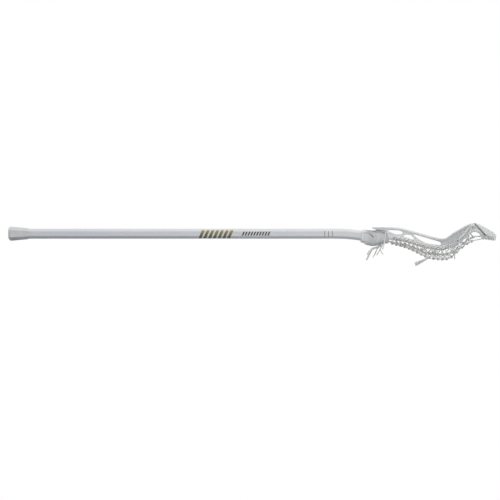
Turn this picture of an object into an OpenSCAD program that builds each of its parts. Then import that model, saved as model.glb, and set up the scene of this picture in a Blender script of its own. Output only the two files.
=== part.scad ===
// Women's field lacrosse stick: a bent octagonal handle with a rubber butt cap, a one-piece moulded
// head screwed to it, and a pocket of four thongs laced together and to the head.
// Millimetres. +X runs from the butt to the scoop and +Z out of the open side of the pocket.
// The origin is on the handle's axis, at the middle of the grip.

/* [Handle] */
// Length of the handle tube along its axis
tube_length = 813; // [660:1:980]
// Size of the handle across its flats
tube_flats = 22.2; // [18.5:0.1:26.7]
// Leg of the corner facets, which lie at 45 degrees
tube_facet = 5.6; // [4:0.1:7]
// Wall of the tube
tube_wall = 1.8; // [1.2:0.1:2.6]
// Angle of the bend next to the head
bend_angle = 10; // [4:1:14]
// Radius of the bend, on the handle's axis
bend_radius = 300; // [240:10:400]
// Distance from the butt's end face to the middle of the grip
grip_from_butt = 400; // [300:10:500]

/* [Butt cap] */
// Length of the cap, end to mouth
cap_length = 44; // [36:1:54]
// Rubber between the end of the tube and the end face
cap_end = 10.4; // [8:0.1:13]
// Size of the cap across its flats at the mouth
cap_mouth = 25; // [24.4:0.1:30]
// Size of the cap across its flats at the flare
cap_flare = 31.2; // [28:0.1:37.5]
// Height of the domed end
cap_dome = 5.5; // [3:0.1:6.5]
// Size of the flat on the domed end
cap_flat = 14; // [10:0.5:20]
// Gap between the cap and the tube, each side
cap_clear = 0.1; // [0.05:0.01:0.3]

/* [Head] */
// Length of the head from the socket's mouth to the middle of the scoop's wall
head_length = 290; // [240:1:350]
// Width of the head at its widest, between the middles of the sidewalls
head_width = 174; // [146:1:208]
// Thickness of the rounded rim along the open face
rim_thick = 7; // [5.6:0.1:8.4]
// Thickness of the sidewall's web
web_thick = 4; // [3.2:0.1:5]
// Thickness of the foot rail that carries the string holes
foot_thick = 6; // [5:0.1:7.2]
// Depth of the rim bead below the top edge
rim_depth = 6.5; // [5:0.1:8]
// Depth of the foot rail above the bottom edge
foot_depth = 9; // [7:0.1:11]
// Extra thickness of the scoop's outer lip
scoop_lip = 2.2; // [1:0.1:3]
// Depth of the socket that holds the handle
socket_depth = 38; // [32:1:40]
// Gap between the handle and its socket, each side
socket_clear = 0.15; // [0.05:0.01:0.3]

/* [Screw] */
// Radius of the screw's shank
screw_r = 2.1; // [1.7:0.05:2.6]
// Radius of the screw's head
screw_head_r = 3.9; // [3.3:0.1:4.7]
// Height of the screw's head
screw_head_h = 2.6; // [2:0.1:3.2]
// Length of the shank under the head
screw_length = 10; // [8.5:0.1:12]
// Distance of the screw from the socket's mouth
screw_at = 20; // [16:1:24]
// Gap round the shank and under the head
screw_clear = 0.1; // [0.05:0.01:0.3]

/* [Pocket] */
// Width of a thong
thong_w = 4.6; // [3.8:0.1:5.5]
// Thickness of a thong
thong_t = 2.2; // [1.8:0.1:2.7]
// Radius of the nylon lacing
lace_r = 1.2; // [1:0.05:1.4]
// Gap kept between strings where they cross
string_gap = 0.5; // [0.4:0.05:0.6]
// Radius of the string holes in the foot rail
hole_r = 1.8; // [1.5:0.05:2.1]
// Height of the string holes above the bottom edge
hole_rise = 4.5; // [4:0.1:5.4]
// Lacing crossings between the throat and the upper shooting string
crossings = 18; // [16:2:22]
// Width of a shooting string
shooter_w = 5.5; // [4.6:0.1:6.6]
// Thickness of a shooting string
shooter_t = 2; // [1.6:0.1:2.4]
// Thickness of the foam ball stop
stop_thick = 7; // [5.8:0.1:8.4]
// Height of the foam ball stop
stop_height = 8; // [6.5:0.1:9]

/* [Hidden] */

white_plastic = "whitesmoke";
white_paint = "gainsboro";
white_rubber = "lightgray";
white_cord = "ivory";
white_thong = "seashell";
zinc = "silver";

// Handle and bend
butt_x = -grip_from_butt;
// Change of a facet's leg for each millimetre that an octagon grows, so that its gap stays even
facet_share = 2 - sqrt(2);
tube_start = butt_x + cap_end;
bend_arc = bend_radius * bend_angle * PI / 180;
straight_length = tube_length - bend_arc - socket_depth;
bend_start = tube_start + straight_length;
mouth_x = bend_start + bend_radius * sin(bend_angle);
mouth_z = -bend_radius * (1 - cos(bend_angle));

// Throat sections: distance from the socket's mouth, underside, top, half width
throat_sections = [[0, -13.8, 14.2, 14.6], [2, -14.6, 14.9, 15.3], [5, -14.8, 15.1, 15.6],
    [6, -14.4, 14.8, 15.2], [11, -17.4, 15.2, 17.2], [18, -18.8, 15.8, 19.2], [26, -18.8, 16.6, 22],
    [36, -16.4, 18.4, 27], [46, -10.6, 20, 32], [54, -8, 20.6, 35.4], [62, -6.5, 20.6, 37]];
throat_end = 62;
throat_square = 0.6;
throat_wall = 4;
screw_seat = -15.5;
floor_top = 14;
floor_thick = 5;
rib_thick = 2.5;
hollow_start = socket_depth + throat_wall;

// Rim round the throat: distance from the mouth, half width, top, bottom
lip_stations = [[23.5, 0, 23, 20.2], [25.5, 12, 23.4, 19.8], [31, 23.5, 24.8, 19], [43, 32, 27.2, 19.5],
    [53, 35.4, 29, 18], [61, 37, 30.4, 3]];
// Sidewall and scoop: percent of the length past the throat, percent of the half width, top, bottom
wall_shape = [[8, 45, 32, 3], [19, 49, 30.5, 2.5], [34, 57.5, 27, -2], [48.5, 68, 24.4, -2.6],
    [55, 73, 28.4, 2], [60.5, 78.5, 41, 8], [66.5, 85, 52.5, 17], [72.5, 91, 64, 35],
    [78, 96, 70.6, 49.5], [83, 99, 71, 52.5], [88.5, 98.5, 67, 48], [93.3, 90, 62.8, 45],
    [97.2, 73, 59.2, 43.6], [99.1, 48, 56.4, 43.4], [99.8, 22, 55.2, 43.4], [100, 0, 55, 43.4]];
// Pocket along its middle: percent of the length past the throat, height
floor_shape = [[-6, 3], [3, -4.6], [11, -6.4], [20, -9.4], [27, -13.8], [37, -20.8], [45, -23.2],
    [56, -20.6], [60.5, -17], [64, -10], [67, 0], [70, 9.5], [73.6, 18.5], [78, 27], [84, 34.5],
    [90, 39.5], [95.5, 43], [101, 45]];
// Windows in the sidewall: percent of the length past the throat, height
window_back = [[-4.5, 21.4], [0, 23.8], [8, 26.4], [11.2, 25], [12.6, 21.6], [10.5, 18.6], [5.8, 16.4],
    [1.6, 18.4]];
window_mid = [[12, 16.2], [16.5, 20.2], [20.4, 20.8], [25, 13], [21, 12.4], [16, 13.6]];
window_front = [[19.8, 23.8], [29, 22.3], [37.2, 20], [44.4, 18.2], [49.8, 16.7], [51.2, 13.7], [50.2, 9.9],
    [43, 8.9], [35.5, 9.4], [30, 12.9], [25.4, 18]];
window_round = 1.2;
// Slanted start of the scoop's lip, in the side view
lip_line = [[74, 80], [102.5, 30], [130, 30], [130, 80]];
// Groove that sets the lip off from the sidewall
lip_groove = [[72.2, 80], [74.2, 80], [102.7, 30], [100.7, 30]];
// Crease moulded into the throat's cheeks
crease = [[4, 7], [13.7, 7.8], [20, 5.4], [26, 1.8]];
crease_r = 1.2;
crease_deep = 2;
loft_steps = 3;

// Thongs: half spacing at the throat and at the scoop, and the holes in the throat's end plate
inner_throat = 7;
outer_throat = 18;
inner_scoop = 20.7;
outer_scoop = 62.2;
thong_hole_r = thong_w / 2 + 0.6;
thong_hole_z = -1;
knot_r = 3.6;
knot_at = 53;
tuck = 0.8;
tie_hole = [52, 17];
scoop_hole_step = 10;
scoop_rise = 3.4;

// Climb of the sidewall string's holes above the foot rail
tie_climb = [[along(56), 0], [along(64), 15]];

// Shooting strings: percent of the length past the throat at the sidewall and in the middle
shooter_low = [68, 65];
shooter_high = [79.5, 76];

// Free ends, as [distance from the mouth, across, height]
route_thong_left = [[47.4, 7, -2], [46, 7.2, -4.5], [45.6, 7.5, -9], [43.4, 8, -15], [38.5, 8, -19.5],
    [33, 8.2, -22], [29, 8.6, -25.5], [26.4, 9.2, -31], [24, 10.4, -39], [21, 12, -50]];
route_thong_right = [[47.4, -7, -2], [46, -7.2, -4.5], [45.6, -7.5, -9], [43.4, -8.5, -15],
    [38.5, -10, -19.5], [33, -12, -22], [28, -15, -24.5], [24, -20, -30], [20, -26, -38]];
route_lace_left = [[48, 18, -2], [46.5, 18.2, -4.5], [46, 18.5, -9], [44, 19, -15], [41, 20, -20],
    [39, 22, -25], [38, 24, -31], [36, 26, -37], [34, 27, -42]];
route_lace_right = [[48, -18, -2], [46.7, -18.2, -4.5], [46.5, -18.5, -9], [46, -19, -14], [46, -20, -19],
    [47, -22, -24], [50, -24, -28], [54, -27, -32]];
// Free ends under the pocket, from the thong that carries them
run_pocket_left = [[0, 0, 0], [-1.5, 0.2, -0.6], [-4, 1.5, -3.2], [-7.5, 3.5, -6.5], [-12, 6.5, -10.5],
    [-16.5, 9.5, -14.5], [-22.5, 13.5, -19]];
run_pocket_right = [[0, 0, 0], [-1.5, -0.2, -0.6], [-4.2, -1.5, -3.2], [-8.5, -3.5, -5.8],
    [-13.5, -6.5, -8.5], [-18.5, -9.5, -11.5], [-25, -13.5, -15]];
// Ends of the sidewall strings below the throat, across from the place of the tie
tie_tail_left = [[41.7, -3, -36], [44.5, -2.5, -28], [48, -2, -18], [51, -1, -8]];
tie_tail_right = [[51, -2, -21], [52.2, -1.5, -14], [52.5, -1, -7]];
tail_r = 1.9;
lace_tail_r = 1.2;

// Splines and frames
function unit(v) = v / norm(v);
function blend(a, b, c, d, t) = 0.5 * (2 * b + (c - a) * t + (2 * a - 5 * b + 4 * c - d) * t * t
    + (3 * b - a - 3 * c + d) * t * t * t);
// A smooth open curve through points p, with steps stations from each point to the next
function curve(p, steps) = let (n = len(p)) concat([for (i = [0:n - 2], s = [0:steps - 1])
    blend(p[max(i - 1, 0)], p[i], p[i + 1], p[min(i + 2, n - 1)], s / steps)], [p[n - 1]]);
// A smooth closed curve through points p
function loop_curve(p, steps) = let (n = len(p)) [for (i = [0:n - 1], s = [0:steps - 1])
    blend(p[(i + n - 1) % n], p[i], p[(i + 1) % n], p[(i + 2) % n], s / steps)];
// Distance from the socket's mouth at a percentage of the length past the throat
function along(percent) = throat_end + percent / 100 * (head_length - throat_end);

// Closed path of the rim and walls, as [along, across, top, bottom]
half_loop = concat(lip_stations,
    [for (s = wall_shape) [along(s[0]), s[1] / 100 * head_width / 2, s[2], s[3]]]);
back_loop = [for (i = [len(half_loop) - 2:-1:1]) let (s = half_loop[i]) [s[0], -s[1], s[2], s[3]]];
wall_loop = loop_curve(concat(half_loop, back_loop), loft_steps);
wall_half = [for (s = wall_loop) if (s[1] >= 0) s];
function wall_y(u) = lookup(u, [for (s = wall_half) [s[0], s[1]]]);
function wall_top(u) = lookup(u, [for (s = wall_half) [s[0], s[2]]]);
function wall_bottom(u) = lookup(u, [for (s = wall_half) [s[0], s[3]]]);
function hole_z(u) = wall_bottom(u) + hole_rise;
// Height of the sidewall string's holes, which climb to the rim where the wall rises to the scoop
function tie_z(u) = min(hole_z(u) + lookup(u, tie_climb), wall_top(u) - rim_depth - 2 * hole_r);

// Scoop, by distance across: place of its wall, height of its holes and direction it faces
scoop_line = [for (i = [len(wall_half) - 1:-1:0]) let (s = wall_half[i]) if (s[0] > along(88)) s];
function scoop_u(y) = lookup(abs(y), [for (s = scoop_line) [s[1], s[0]]]);
function scoop_z(y) = lookup(abs(y), [for (s = scoop_line) [s[1], s[3]]]) + scoop_rise;
function scoop_turn(y) = let (step = 2) atan2(scoop_u(y - step) - scoop_u(y + step), 2 * step);
scoop_holes = [for (k = [-6.5:1:6.5]) k * scoop_hole_step];

// Pocket surface: a parabola across, hung from the string holes
wide_u = along(84);
floor_line = [for (p = curve(floor_shape, 3)) [along(p[0]), p[1]]];
function net_half(u) = wall_y(min(u, wide_u));
function net_z(u, y) = let (low = lookup(u, floor_line)) low + (hole_z(u) - low) * pow(y / net_half(u), 2);

// Thongs and lacing
lace_start = along(4);
lace_end = along(80);
pitch = (lace_end - lace_start) / crossings;
thong_gap = 11.4;
shooter_out = 4;
shooter_span = 24;
lace_size = [[2 * lace_r, 2 * lace_r]];
lift = thong_t / 2 + lace_r + 2.4 * string_gap;
near = thong_w / 2 + 0.2 * string_gap;
reach = thong_w / 2 + lace_r + string_gap;
function thong_y(near, far, u) = near + (far - near) * (u - throat_end) / (head_length - throat_end);
function inner_y(u) = thong_y(inner_throat, inner_scoop, u);
function outer_y(u) = thong_y(outer_throat, outer_scoop, u);
function row_y(row, u) = sign(row) * (abs(row) == 1 ? inner_y(u) : outer_y(u));
// Where a thong ends, behind the scoop's wall
function thong_end(row) = scoop_u(row_y(row, along(95))) - thong_gap;
function on_thong(row, u) = [u, row_y(row, u), net_z(u, row_y(row, u))];
function thong_way(row, u) = let (d = on_thong(row, u + 2) - on_thong(row, u - 2)) unit([d[0], 0, d[2]]);
// Height of the lacing, which is straight from thong to thong and from the outer thong to the wall
function mesh_z(u, y) = lookup(abs(y), [[0, net_z(u, inner_y(u))], [inner_y(u), net_z(u, inner_y(u))],
    [outer_y(u), net_z(u, outer_y(u))], [net_half(u), hole_z(u)]]);

module at_head() {
    translate([mouth_x, 0, mouth_z])
        rotate([0, bend_angle, 0])
            children();
}

// Skin over equal rings of points, open with capped ends or closed on itself
module skin(rings, closed = false) {
    n = len(rings);
    m = len(rings[0]);
    points = [for (r = rings, p = r) p];
    spans = closed ? n : n - 1;
    sides = [for (i = [0:spans - 1], k = [0:m - 1]) let (a = i * m + k, b = i * m + (k + 1) % m,
        c = (i + 1) % n * m + (k + 1) % m, d = (i + 1) % n * m + k) each [[a, c, b], [a, d, c]]];
    caps = closed ? [] : [for (k = [1:m - 2]) each [[0, k, k + 1],
        [(n - 1) * m, (n - 1) * m + k + 1, (n - 1) * m + k]]];
    polyhedron(points, concat(sides, caps), convexity = 10);
}

// Tube of elliptical section along a path: sizes hold [across, along up] for each point, or one for all
module tube(path, sizes, up, sides = 5) {
    n = len(path);
    skin([for (i = [0:n - 1]) let (d = unit(path[min(i + 1, n - 1)] - path[max(i - 1, 0)]),
        across = unit(cross(up, d)), out = cross(d, across), size = len(sizes) == n ? sizes[i] : sizes[0])
        [for (k = [0:sides - 1]) let (a = 360 * (k + 0.5) / sides)
            path[i] + across * size[0] / 2 * cos(a) + out * size[1] / 2 * sin(a)]]);
}

module octagon(flats, facet) {
    h = flats / 2;
    c = h - facet;
    polygon([[h, -c], [h, c], [c, h], [-c, h], [-h, c], [-h, -c], [-c, -h], [c, -h]]);
}

module along_x(length) {
    rotate([90, 0, 90])
        linear_extrude(length)
            children();
}

module tube_section() {
    difference() {
        octagon(tube_flats, tube_facet);
        octagon(tube_flats - 2 * tube_wall, tube_facet - facet_share * tube_wall);
    }
}

module screw_hole(r) {
    at_head()
        translate([screw_at, 0, -tube_flats])
            cylinder(h = tube_flats, r = r, $fn = 32);
}

module handle_tube() {
    color(white_paint)
        difference() {
            union() {
                translate([tube_start, 0, 0])
                    along_x(straight_length)
                        tube_section();
                translate([bend_start, 0, -bend_radius]) {
                    rotate([0, -90, -90])
                        rotate_extrude(angle = bend_angle, $fn = 360)
                            translate([bend_radius, 0])
                                tube_section();
                    rotate([0, bend_angle, 0])
                        translate([0, 0, bend_radius])
                            along_x(socket_depth)
                                tube_section();
                }
            }
            screw_hole(screw_r + screw_clear);
        }
}

// Octagonal slice of the cap at a distance from its end face
module cap_slice(x, flats) {
    slice = 0.01;
    translate([butt_x + x, 0, 0])
        along_x(slice)
            octagon(flats, tube_facet / tube_flats * flats);
}

module butt_cap() {
    bore = tube_flats + 2 * cap_clear;
    bead = 3;
    color(white_rubber)
        difference() {
            union() {
                hull() {
                    cap_slice(0, cap_flat);
                    cap_slice(cap_dome * 0.3, cap_flare * 0.8);
                    cap_slice(cap_dome, cap_flare);
                    cap_slice(cap_dome + bead, cap_flare);
                }
                hull() {
                    cap_slice(cap_dome + bead, cap_flare);
                    cap_slice(cap_length - bead, cap_mouth);
                }
                hull() {
                    cap_slice(cap_length - bead - 1, cap_mouth + 0.4);
                    cap_slice(cap_length, cap_mouth);
                }
            }
            translate([tube_start, 0, 0])
                along_x(cap_length)
                    octagon(bore, tube_facet + facet_share * cap_clear);
        }
}

// Rounded rim, thin web and foot rail, as [out, drop] points round a wall of height h.
// Where the wall is low there is no room for a web, and the section closes to a plain bead
function wall_section(h) = let (rim = min(rim_depth, 0.45 * h), foot = min(foot_depth, 0.45 * h),
    open = min(max((h - rim_depth) / foot_depth, 0), 1), web = web_thick * open + rim_thick * (1 - open),
    right = [[foot_thick * 0.28, h], [foot_thick / 2, h - foot * 0.2], [foot_thick / 2, h - foot * 0.75],
        [web / 2, h - foot], [web / 2, rim], [rim_thick / 2, rim * 0.7], [rim_thick / 2, rim * 0.3],
        [rim_thick * 0.28, 0]])
    concat(right, [for (i = [7:-1:0]) [-right[i][0], right[i][1]]]);
// Thicker outer skin of the scoop, rooted inside the web
function lip_section(h, out) = [[0.5, h - 1.3], [out - 1.8, h - 1.7], [out, h - 4], [out, 3],
    [out - 1.5, 0.8], [0.5, 0.5]];

// Wall round the head, or the skin of its lip, whose stations lie midway between the wall's own
module wall_loft(lip = 0) {
    n = len(wall_loop);
    skin([for (i = [0:n - 1]) let (here = wall_loop[i], next = wall_loop[(i + 1) % n],
        s = lip > 0 ? (here + next) / 2 : here, d = next - (lip > 0 ? here : wall_loop[(i + n - 1) % n]),
        out = unit([-d[1], d[0]]), h = s[2] - s[3])
        [for (p = lip > 0 ? lip_section(h, rim_thick / 2 + lip) : wall_section(h))
            [s[0] + out[0] * p[0], s[1] + out[1] * p[0], s[2] - p[1]]]], closed = true);
}

// Prism across the head, from an outline drawn in the side view
module across_head(outline) {
    rotate([90, 0, 0])
        linear_extrude(2 * head_width, center = true)
            offset(r = window_round)
                offset(delta = -window_round)
                    polygon([for (p = outline) [along(p[0]), p[1]]]);
}

function round_power(x) = sign(x) * pow(abs(x), throat_square);

module throat_body() {
    ring = 24;
    skin([for (s = curve(throat_sections, 1)) [for (k = [0:ring - 1]) let (a = 360 * k / ring)
        [s[0], s[3] * round_power(cos(a)), (s[1] + s[2]) / 2 + (s[2] - s[1]) / 2 * round_power(sin(a))]]]);
}

function throat_half(u) = lookup(u, [for (s = throat_sections) [s[0], s[3]]]);

// Rounded post of the ball stop's back wall, at an angle round its arc
stop_centre = 62;
stop_arc_r = 30;
stop_arc_w = 27;
stop_wall = 2.2;
stop_top = 22;
function stop_point(a, inset = 0) =
    [stop_centre - (stop_arc_r - inset) * cos(a), (stop_arc_w - inset) * sin(a)];

module stop_wall() {
    turn = 12;
    for (a = [-72:turn:60])
        hull()
            for (b = [a, a + turn])
                translate([stop_point(b)[0], stop_point(b)[1], floor_top - 2])
                    cylinder(h = stop_top - floor_top + 2, r = stop_wall, $fn = 12);
}

// Open hollow above the throat's floor, where the ball comes to rest against the stop
module ball_seat() {
    translate([0, 0, floor_top])
        linear_extrude(60)
            polygon(concat([for (a = [-84:12:84]) stop_point(a)],
                [[head_length, stop_arc_w], [head_length, -stop_arc_w]]));
}

module crease_cut() {
    for (side = [-1, 1], i = [0:len(crease) - 2])
        hull()
            for (p = [crease[i], crease[i + 1]])
                translate([p[0], side * (throat_half(p[0]) + 4), p[1]])
                    rotate([90, 0, 0])
                        cylinder(h = 2 * (4 + crease_deep), r = crease_r, center = true, $fn = 12);
}

// Ribbed hollow under the throat's floor, where the thongs are knotted
module throat_hollow() {
    depth = 30;
    difference() {
        translate([hollow_start, -outer_throat - 6, floor_top - floor_thick - depth])
            cube([throat_end - throat_wall - hollow_start, 2 * outer_throat + 12, depth]);
        for (y = [-12.5, 0, 12.5])
            translate([hollow_start - 1, y - rib_thick / 2, floor_top - floor_thick - depth])
                cube([throat_end, rib_thick, depth + 1]);
    }
}

// Hole across the head at a distance u and height z
module string_hole(u, z) {
    translate([u, 0, z])
        rotate([90, 0, 0])
            cylinder(h = 2 * head_width, r = hole_r, center = true, $fn = 6);
}

module head_frame() {
    rail_holes = [for (i = [0:crossings - 1]) lace_start + i * pitch];
    color(white_plastic)
        at_head()
            difference() {
                union() {
                    difference() {
                        union() {
                            wall_loft();
                            intersection() {
                                wall_loft(scoop_lip);
                                across_head(lip_line);
                            }
                        }
                        intersection() {
                            wall_loft(scoop_lip + 1);
                            across_head(lip_groove);
                        }
                        across_head(window_back);
                        across_head(window_mid);
                        across_head(window_front);
                    }
                    difference() {
                        throat_body();
                        ball_seat();
                        crease_cut();
                    }
                    stop_wall();
                }
                translate([-1, 0, 0])
                    along_x(socket_depth + socket_clear + 1)
                        octagon(tube_flats + 2 * socket_clear, tube_facet + facet_share * socket_clear);
                throat_hollow();
                for (y = [-outer_throat, -inner_throat, inner_throat, outer_throat])
                    translate([throat_end - throat_wall - 1, y, thong_hole_z])
                        rotate([0, 90, 0])
                            cylinder(h = throat_wall + 2, r = thong_hole_r, $fn = 16);
                for (u = rail_holes)
                    string_hole(u, tie_z(u));
                string_hole(tie_hole[0], tie_hole[1]);
                shooter_hole(shooter_low);
                shooter_hole(shooter_high);
                for (y = scoop_holes)
                    translate([scoop_u(y), y, scoop_z(y)])
                        rotate([0, 0, scoop_turn(y)]) {
                            rotate([0, 90, 0])
                                cylinder(h = 30, r = hole_r, center = true, $fn = 6);
                            // Notch that takes the string below the lip's face
                            translate([foot_thick / 2 - 0.3, -hole_r, -2 * scoop_rise])
                                cube([foot_thick, 2 * hole_r, 2 * scoop_rise + hole_r + 0.3]);
                        }
                translate([screw_at, 0, screw_seat - 30])
                    cylinder(h = 30, r = screw_head_r + screw_clear, $fn = 24);
                translate([screw_at, 0, screw_seat - 1])
                    cylinder(h = 30, r = screw_r + screw_clear, $fn = 24);
            }
}

module head_screw() {
    color(zinc)
        at_head()
            translate([screw_at, 0, screw_seat]) {
                cylinder(h = screw_length, r = screw_r, $fn = 32);
                translate([0, 0, -screw_head_h])
                    cylinder(h = screw_head_h, r = screw_head_r, $fn = 32);
            }
}

module ball_stop_pad() {
    color(white_rubber)
        at_head()
            translate([0, 0, floor_top + string_gap])
                linear_extrude(stop_height)
                    polygon(concat([for (a = [-60:10:60]) stop_point(a, stop_wall + string_gap)],
                        [for (a = [60:-10:-60]) stop_point(a, stop_wall + string_gap + stop_thick)]));
}

module thong(row) {
    start = along(2);
    bays = 28;
    y = row_y(row, throat_end);
    knot = [[knot_at - 4, y, thong_hole_z - 1], [knot_at - 3, y, thong_hole_z - 0.8],
        [knot_at, y, thong_hole_z - 0.4], [knot_at + 3, y, thong_hole_z], [knot_at + 4, y, thong_hole_z],
        [throat_end, y, thong_hole_z]];
    knot_sizes = [for (d = [2, 1.6 * knot_r, 2 * knot_r, 1.6 * knot_r]) [d, d]];
    run = [for (i = [0:bays]) let (u = start + (thong_end(row) - start) * i / bays) on_thong(row, u)];
    path = concat(knot, run);
    color(white_thong)
        at_head()
            tube(path, [for (i = [0:len(path) - 1]) i < len(knot_sizes) ? knot_sizes[i] : [thong_w, thong_t]],
                [0, 0, 1], 6);
}

// Over a thong, round its far edge and back under it, at a distance u along the pocket
function wrap(row, side, u) = let (p = on_thong(row, u), t = thong_way(row, u), n = [-t[2], 0, t[0]],
    s = [0, side, 0])
    [p - tuck * t + lift * n - near * s, p - tuck / 2 * t + 0.4 * lift * n + reach * s,
        p + tuck / 2 * t - 0.4 * lift * n + reach * s, p + tuck * t - lift * n - near * s];

module cross_lace(odd_row, even_row) {
    color(white_cord)
        at_head()
            tube([for (i = [0:crossings]) each i % 2 == 0
                ? wrap(even_row, sign(even_row - odd_row), lace_start + i * pitch)
                : wrap(odd_row, sign(odd_row - even_row), lace_start + i * pitch)], lace_size, [1, 0, 0]);
}

// Round the foot rail from below and in through its hole
function rail_turn(side, u) = let (y = wall_y(u), low = wall_bottom(u - tuck),
    lean = norm([4, wall_y(u + 2) - wall_y(u - 2)]) / 4,
    steep = norm([4, wall_bottom(u + 2) - wall_bottom(u - 2)]) / 4,
    out = (foot_thick / 2 + lace_r + string_gap) * lean, drop = (lace_r + 2 * string_gap) * steep)
    [[u - tuck, side * (y - 2), low - drop], [u - tuck, side * (y + 0.85 * out), low - drop],
        [u, side * (y + out), tie_z(u)], [u, side * (y - out), tie_z(u)],
        [u + tuck, side * (y - out), hole_z(u) - 1]];

// From a hole down round the outer thong and up to the hole after next, so that both sides cross in diamonds
module sidewall_string(side) {
    out = wall_y(tie_hole[0]) + foot_thick / 2 + lace_r + 2 * string_gap;
    tail = [for (p = side > 0 ? tie_tail_left : tie_tail_right) [p[0], side * (out + p[1]), p[2]]];
    tie = [each tail, [tie_hole[0], side * out, 4],
        [tie_hole[0], side * out, tie_hole[1]], [tie_hole[0], side * (stop_arc_w - 6), tie_hole[1]],
        [throat_end - 2, side * (stop_arc_w - 4), floor_top + lace_r + 2 * string_gap],
        [throat_end + 3, side * (stop_arc_w - 2), floor_top + lace_r - string_gap]];
    // The thong wraps lie midway between those of the cross lacing
    first = side > 0 ? 0 : 1;
    run = [for (i = [first:2:crossings - 1]) let (u = lace_start + i * pitch)
        each concat(rail_turn(side, u), wrap(2 * side, -side, u + pitch))];
    color(white_cord)
        at_head()
            tube(concat(tie, run), lace_size, [1, 0, 0]);
}

// Place of a shooting string on the pocket, at v from -1 to 1 across it
function shooter_point(place, v) = let (edge = along(place[0]),
    u = edge + (along(place[1]) - edge) * (1 - v * v),
    y = v * (net_half(edge) + shooter_out), slope = (mesh_z(u + 2, y) - mesh_z(u - 2, y)) / 4,
    rise = lift + lace_r + string_gap + shooter_t / 2)
    [u, y, mesh_z(u, y)] + rise * unit([-slope, 0, 1]);

module shooting_string(place) {
    steep = shooter_point([place[0], place[1] + 1], 0) - shooter_point([place[0], place[1] - 1], 0);
    color(white_cord)
        at_head()
            tube([for (i = [0:shooter_span]) shooter_point(place, 2 * i / shooter_span - 1)],
                [for (i = [0:shooter_span]) [shooter_t, abs(2 * i - shooter_span) > shooter_span - 5
                    ? 0.55 * shooter_w : shooter_w]], unit(steep), 6);
}

// Holes that let a shooting string out through both sidewalls, along its own end stretches
module shooter_hole(place) {
    for (side = [-1, 1]) {
        tip = shooter_point(place, side);
        way = unit(tip - shooter_point(place, side * (1 - 2 / shooter_span)));
        translate(tip - shooter_out * way)
            rotate([0, acos(way[2]), atan2(way[1], way[0])])
                cylinder(h = 24, r = 0.3 * shooter_w + 1.8 * string_gap, center = true, $fn = 12);
    }
}

// Round the scoop's foot and in through a hole, then over the next thong or the space between thongs
module scoop_string() {
    out = foot_thick / 2 + lace_r + string_gap;
    path = [for (y = scoop_holes) let (a = scoop_turn(y), far = [cos(a), sin(a), 0], z = scoop_z(y),
        mid = y + scoop_hole_step / 2, catch = scoop_u(mid) - thong_gap + lace_r + string_gap,
        low = z - scoop_rise - lace_r - 2 * string_gap, foot = [scoop_u(y), y, 0], step = [0, -tuck, 0])
        each [foot - 3 * far + [0, 0, low] + step, foot + (out - 0.6) * far + [0, 0, low] + step,
            foot + out * far + [0, 0, z], foot - out * far + [0, 0, z],
            [catch, mid, mesh_z(catch, mid)]]];
    color(white_cord)
        at_head()
            tube([for (i = [0:len(path) - 2]) path[i]], lace_size, [0, 1, 0]);
}

module tail(route, r) {
    color(white_thong)
        at_head()
            tube(route, [[2 * r, 2 * r]], [0, 1, 0], 8);
}

// Tail that hangs from the underside of a thong, between two wraps of the lacing
module pocket_tail(row, run) {
    root = on_thong(row, lace_start + 8.5 * pitch) - [0, 0, thong_t / 2 + tail_r + 0.2 * string_gap];
    tail([for (p = run) root + p], tail_r);
}

handle_tube();
butt_cap();
head_frame();
head_screw();
ball_stop_pad();
thong(2);  // thong_outer_left
thong(1);  // thong_inner_left
thong(-1);  // thong_inner_right
thong(-2);  // thong_outer_right
cross_lace(1, 2);  // cross_lace_left
cross_lace(-1, 1);  // cross_lace_centre
cross_lace(-2, -1);  // cross_lace_right
sidewall_string(1);  // sidewall_string_left
sidewall_string(-1);  // sidewall_string_right
shooting_string(shooter_low);  // shooting_string_lower
shooting_string(shooter_high);  // shooting_string_upper
scoop_string();
tail(route_thong_left, tail_r);  // thong_tail_left
tail(route_thong_right, tail_r);  // thong_tail_right
tail(route_lace_left, lace_tail_r);  // lace_tail_left
tail(route_lace_right, lace_tail_r);  // lace_tail_right
pocket_tail(1, run_pocket_left);  // pocket_tail_left
pocket_tail(-1, run_pocket_right);  // pocket_tail_right
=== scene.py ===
"""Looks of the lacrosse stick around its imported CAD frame. Blender units are metres; the routes of the
strings are worked out in millimetres in the head's own frame, whose u runs from the socket's mouth."""
import math

import bpy
import numpy as np
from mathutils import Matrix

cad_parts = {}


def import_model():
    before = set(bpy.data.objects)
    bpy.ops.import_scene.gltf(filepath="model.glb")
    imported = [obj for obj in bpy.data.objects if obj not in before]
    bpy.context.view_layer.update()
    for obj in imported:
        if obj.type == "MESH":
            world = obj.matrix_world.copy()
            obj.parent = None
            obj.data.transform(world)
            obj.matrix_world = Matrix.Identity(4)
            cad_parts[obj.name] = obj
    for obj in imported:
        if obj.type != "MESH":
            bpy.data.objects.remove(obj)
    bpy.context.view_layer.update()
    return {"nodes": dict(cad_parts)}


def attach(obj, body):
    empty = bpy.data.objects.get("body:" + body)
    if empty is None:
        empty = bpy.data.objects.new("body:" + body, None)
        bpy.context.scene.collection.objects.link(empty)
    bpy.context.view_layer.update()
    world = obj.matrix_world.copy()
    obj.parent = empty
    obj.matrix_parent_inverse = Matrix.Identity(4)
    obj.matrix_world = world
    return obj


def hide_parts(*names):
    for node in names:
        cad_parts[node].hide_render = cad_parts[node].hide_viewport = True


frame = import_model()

MM = 0.001
BODY = "root"
SHAPE_STEPS, CURVE_STEPS, NUDGE = 3, 8, 2.0

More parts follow.
